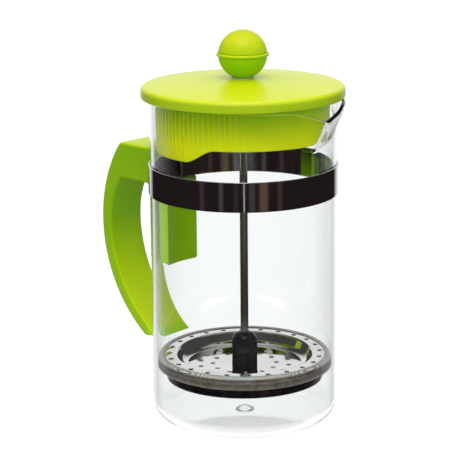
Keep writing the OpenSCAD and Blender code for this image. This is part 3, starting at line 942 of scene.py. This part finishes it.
def build_mesh():
    """Steel cloth under the plate, folded up round the spring and over the plate's edge."""
    fold_c, fold_r = (44.0, 31.15), 3.6
    lap_c, lap_r = (45.25, 33.4), 2.05
    flat = [(r, MESH_Z) for r in (2.6, 8, 14, 20, 26, 32, 38, 41, 43)]
    fold = arc(fold_c, fold_r, -90, 22, 24)
    lap = arc(lap_c, lap_r, 8, 128, 18)
    points, faces = turned(flat + fold + lap, even(288), False)
    mesh = mesh_of("mesh_cloth", points, faces, 60)
    solidified(piece("mesh_cloth", mesh, "mesh_screen", mesh_steel), MESH_T)


def build_spring():
    """A long coil of wire, closed into a ring inside the fold of cloth."""
    wire, winding = 0.3, 2.75
    steps, sides = 12, 6
    rows = COIL_TURNS * steps
    points = []
    for k in range(rows):
        around, turn = TURN * k / rows, TURN * k / steps
        outwards = Vector((math.cos(around), math.sin(around), 0))
        spoke = outwards * math.cos(turn) + Vector((0, 0, math.sin(turn)))
        centre = outwards * COIL_RING + Vector((0, 0, COIL_Z)) + spoke * winding
        along = Vector((-math.sin(around), math.cos(around), 0))
        for a in even(sides):
            points.append(tuple(centre + (spoke * math.cos(a) + along * math.sin(a)) * wire))
    faces = grid_faces(rows, sides, True, True)
    piece("wound_spring", mesh_of("wound_spring", points, faces), "coil_spring", spring_steel)


def finish_kept():
    """Better materials on the CAD nodes that stay."""
    for node, material in KEPT.items():
        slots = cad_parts[node].data.materials
        slots.clear()
        slots.append(material)


# ------------------------------------------------------------------- stage


def build_table():
    """A pale, softly lit table top. In reflections it is only there close to the object."""
    glow = (0.985, 0.992, 1.0, 1)
    f = Finish("table_white", Roughness=0.8, Emission_Color=glow, Emission_Strength=0.97)
    tone = f.ramp(f.noise(3.0, 2.0), 0.10, 0.12, 0.3, 0.7)
    f.feed("Base Color", f.add("ShaderNodeCombineColor", tone, tone, tone).outputs[0])
    f.bump(f.noise(300, 2.0), 0.02)
    radius = f.radius()
    depths = f.add("ShaderNodeLightPath").outputs
    past_near = f.math("GREATER_THAN", radius, TABLE_NEAR * MM)
    past_glow = f.math("GREATER_THAN", radius, TABLE_GLOW * MM)
    unseen = f.math("MULTIPLY", past_near, depths["Glossy Depth"])
    unlit = f.math("MULTIPLY", past_glow, depths["Diffuse Depth"])
    gone = f.math("MINIMUM", f.math("ADD", unseen, unlit), 1.0)
    f.show_mixed(gone, f.add("ShaderNodeBsdfTransparent"))
    points, faces = turned([(r, TABLE_Z) for r in TABLE_RINGS], even(96), False)
    mesh = mesh_of("table", points, faces)
    mesh.materials.append(f.material)
    placed("table", mesh)


def build_camera():
    """A long lens at the photograph's place, looking down a little."""
    distance, height = 979.6, 350.9
    pitch, yaw, roll = 14.15, 0.4535, -0.494
    camera = bpy.data.cameras.new("camera")
    camera.lens = 146.35
    camera.sensor_width = 36
    camera.clip_start, camera.clip_end = 0.05, 40
    obj = placed("camera", camera)
    a = math.radians(AZIMUTH)
    place = Vector((math.sin(a) * distance, -math.cos(a) * distance, height)) * MM
    heading = Matrix.Rotation(math.radians(AZIMUTH + yaw), 4, "Z")
    tilt = Matrix.Rotation(math.radians(90 - pitch), 4, "X")
    lean = Matrix.Rotation(math.radians(roll), 4, "Z")
    obj.matrix_world = Matrix.Translation(place) @ heading @ tilt @ lean
    bpy.context.scene.camera = obj


def lamp(name, size, power, azimuth, elevation, distance, mirrored=True):
    """A soft box that faces the object, unseen by the camera. Shiny things show it only if mirrored."""
    light = bpy.data.lights.new(name, "AREA")
    light.shape = "RECTANGLE"
    light.size, light.size_y = size
    light.energy = power
    obj = placed(name, light)
    a, e = math.radians(azimuth), math.radians(elevation)
    back = Vector((math.sin(a) * math.cos(e), -math.cos(a) * math.cos(e), math.sin(e)))
    obj.location = Vector((0, 0, LAMP_AIM * MM)) + back * distance
    obj.rotation_mode = "QUATERNION"
    obj.rotation_quaternion = back.to_track_quat("Z", "Y")
    obj.visible_camera = False
    obj.visible_glossy = mirrored
    obj.visible_transmission = mirrored


def across_room(n, x, y):
    """How far a direction points away from the front of the studio, and to its right."""
    a = math.radians(AZIMUTH)
    away = n.math("ADD", n.math("MULTIPLY", x, -math.sin(a)), n.math("MULTIPLY", y, math.cos(a)))
    right = n.math("ADD", n.math("MULTIPLY", x, math.cos(a)), n.math("MULTIPLY", y, math.sin(a)))
    return away, right


def things_in_the_dark(n, turn):
    """Colours of the upright things round the front of the room, by the turn from its middle."""
    things = n.add("ShaderNodeValToRGB", n.ramp(turn, 0.0, 1.0, -math.pi / 2, math.pi / 2))
    stops = things.color_ramp.elements
    while len(stops) > 1:
        stops.remove(stops[0])
    stops[0].position = 0
    stops[0].color = (*ROOM_DARK, 1)
    for middle, half, colour in ROOM_THINGS:
        core = half * 0.4
        for off, tone in ((-half, ROOM_DARK), (-core, colour), (core, colour), (half, ROOM_DARK)):
            stop = stops.new(0.5 + (middle + off) / 180)
            stop.color = (*tone, 1)
    return things.outputs["Color"]


def mirrored_room(n, away, right, z):
    """What mirrors show: a dark room with a pale ceiling, and a white backdrop on the far side."""
    turn = n.math("ARCTAN2", right, n.math("MULTIPLY", away, -1.0))
    things = things_in_the_dark(n, turn)
    # A bright gap beside the camera, which the band mirrors as a thin line
    gap_turn, gap_z = 0.01, -0.228
    across_gap = n.ramp(n.math("ABSOLUTE", n.math("SUBTRACT", turn, gap_turn)), 1.0, 0.0, 0.006, 0.016)
    down_gap = n.ramp(n.math("ABSOLUTE", n.math("SUBTRACT", z, gap_z)), 1.0, 0.0, 0.030, 0.040)
    front = n.mix(n.math("MULTIPLY", across_gap, down_gap), things, ROOM_GAP)
    front = n.mix(n.ramp(z, 0.0, 1.0, 0.0, 0.12), front, ROOM_WALL)
    front = n.mix(n.ramp(z, 0.0, 1.0, 0.72, 0.92), front, ROOM_CEILING)
    backdrop = n.math("MULTIPLY", n.ramp(away, 0.0, 1.0, 0.76, 0.90), n.ramp(z, 0.0, 1.0, 0.8, 0.5))
    return n.mix(backdrop, front, ROOM_BACKDROP)


def build_world():
    """White to the eye and through glass, soft from above for dull surfaces, and a room in mirrors."""
    world = bpy.data.worlds.new("studio")
    bpy.context.scene.world = world
    world.use_nodes = True
    world.cycles.sampling_method = "NONE"
    n = Nodes(world.node_tree)
    x, y, z = n.add("ShaderNodeSeparateXYZ", n.add("ShaderNodeTexCoord").outputs["Generated"]).outputs
    away, right = across_room(n, x, y)
    depths = n.add("ShaderNodeLightPath").outputs
    # A ray that has gone through one or two faces of glass, and then runs on towards the far side or has
    # been mirrored twice, sees mostly white, so that the edges of the glass stay clear
    inside = n.math("COMPARE", depths["Transmission Depth"], 1.5, 0.6)
    mirrored_on = n.math("GREATER_THAN", depths["Glossy Depth"], 1.5)
    onward = n.math("ADD", n.ramp(away, 0.0, 1.0, 0.1, 0.5), mirrored_on)
    caught = n.math("MULTIPLY", inside, n.math("MINIMUM", onward, 1.0))
    glossy = n.math("MINIMUM", depths["Glossy Depth"], 1.0)
    shiny = n.math("SUBTRACT", glossy, n.math("MULTIPLY", caught, 0.75))
    plain = n.mix(shiny, ROOM_WHITE, mirrored_room(n, away, right, z))
    horizon, zenith, ground = 0.37, 1.40, -0.25
    sky = n.math("ADD", n.ramp(z, horizon, zenith), n.ramp(z, ground, 0.0, -1.0, 0.0))
    grey = n.add("ShaderNodeCombineColor", sky, sky, sky).outputs[0]
    dull = n.math("MINIMUM", depths["Diffuse Depth"], 1.0)
    n.join(n.mix(dull, plain, grey), world.node_tree.nodes["Background"].inputs["Color"])


def set_light_paths():
    """Enough bounces to see through the glass's thick edges, and colours shown as they are."""
    scene = bpy.context.scene
    scene.cycles.max_bounces = 24
    scene.cycles.glossy_bounces = 12
    scene.cycles.transmission_bounces = 24
    scene.view_settings.view_transform = "Standard"


build_camera()
build_table()
build_world()
lamp("key_box", size=(0.9, 0.9), power=2.0, azimuth=AZIMUTH, elevation=65, distance=1.3)
lamp("top_box", size=(0.30, 0.30), power=1.2, azimuth=AZIMUTH - 6, elevation=58, distance=1.3)
lamp("fill_box", size=(0.8, 0.3), power=5.0, azimuth=AZIMUTH, elevation=8, distance=1.2, mirrored=False)
set_light_paths()
build_beaker()
build_band()
build_handle()
build_lid_cover()
build_lid_insert()
build_knob()
build_hub()
build_plate()
build_mesh()
build_spring()
finish_kept()
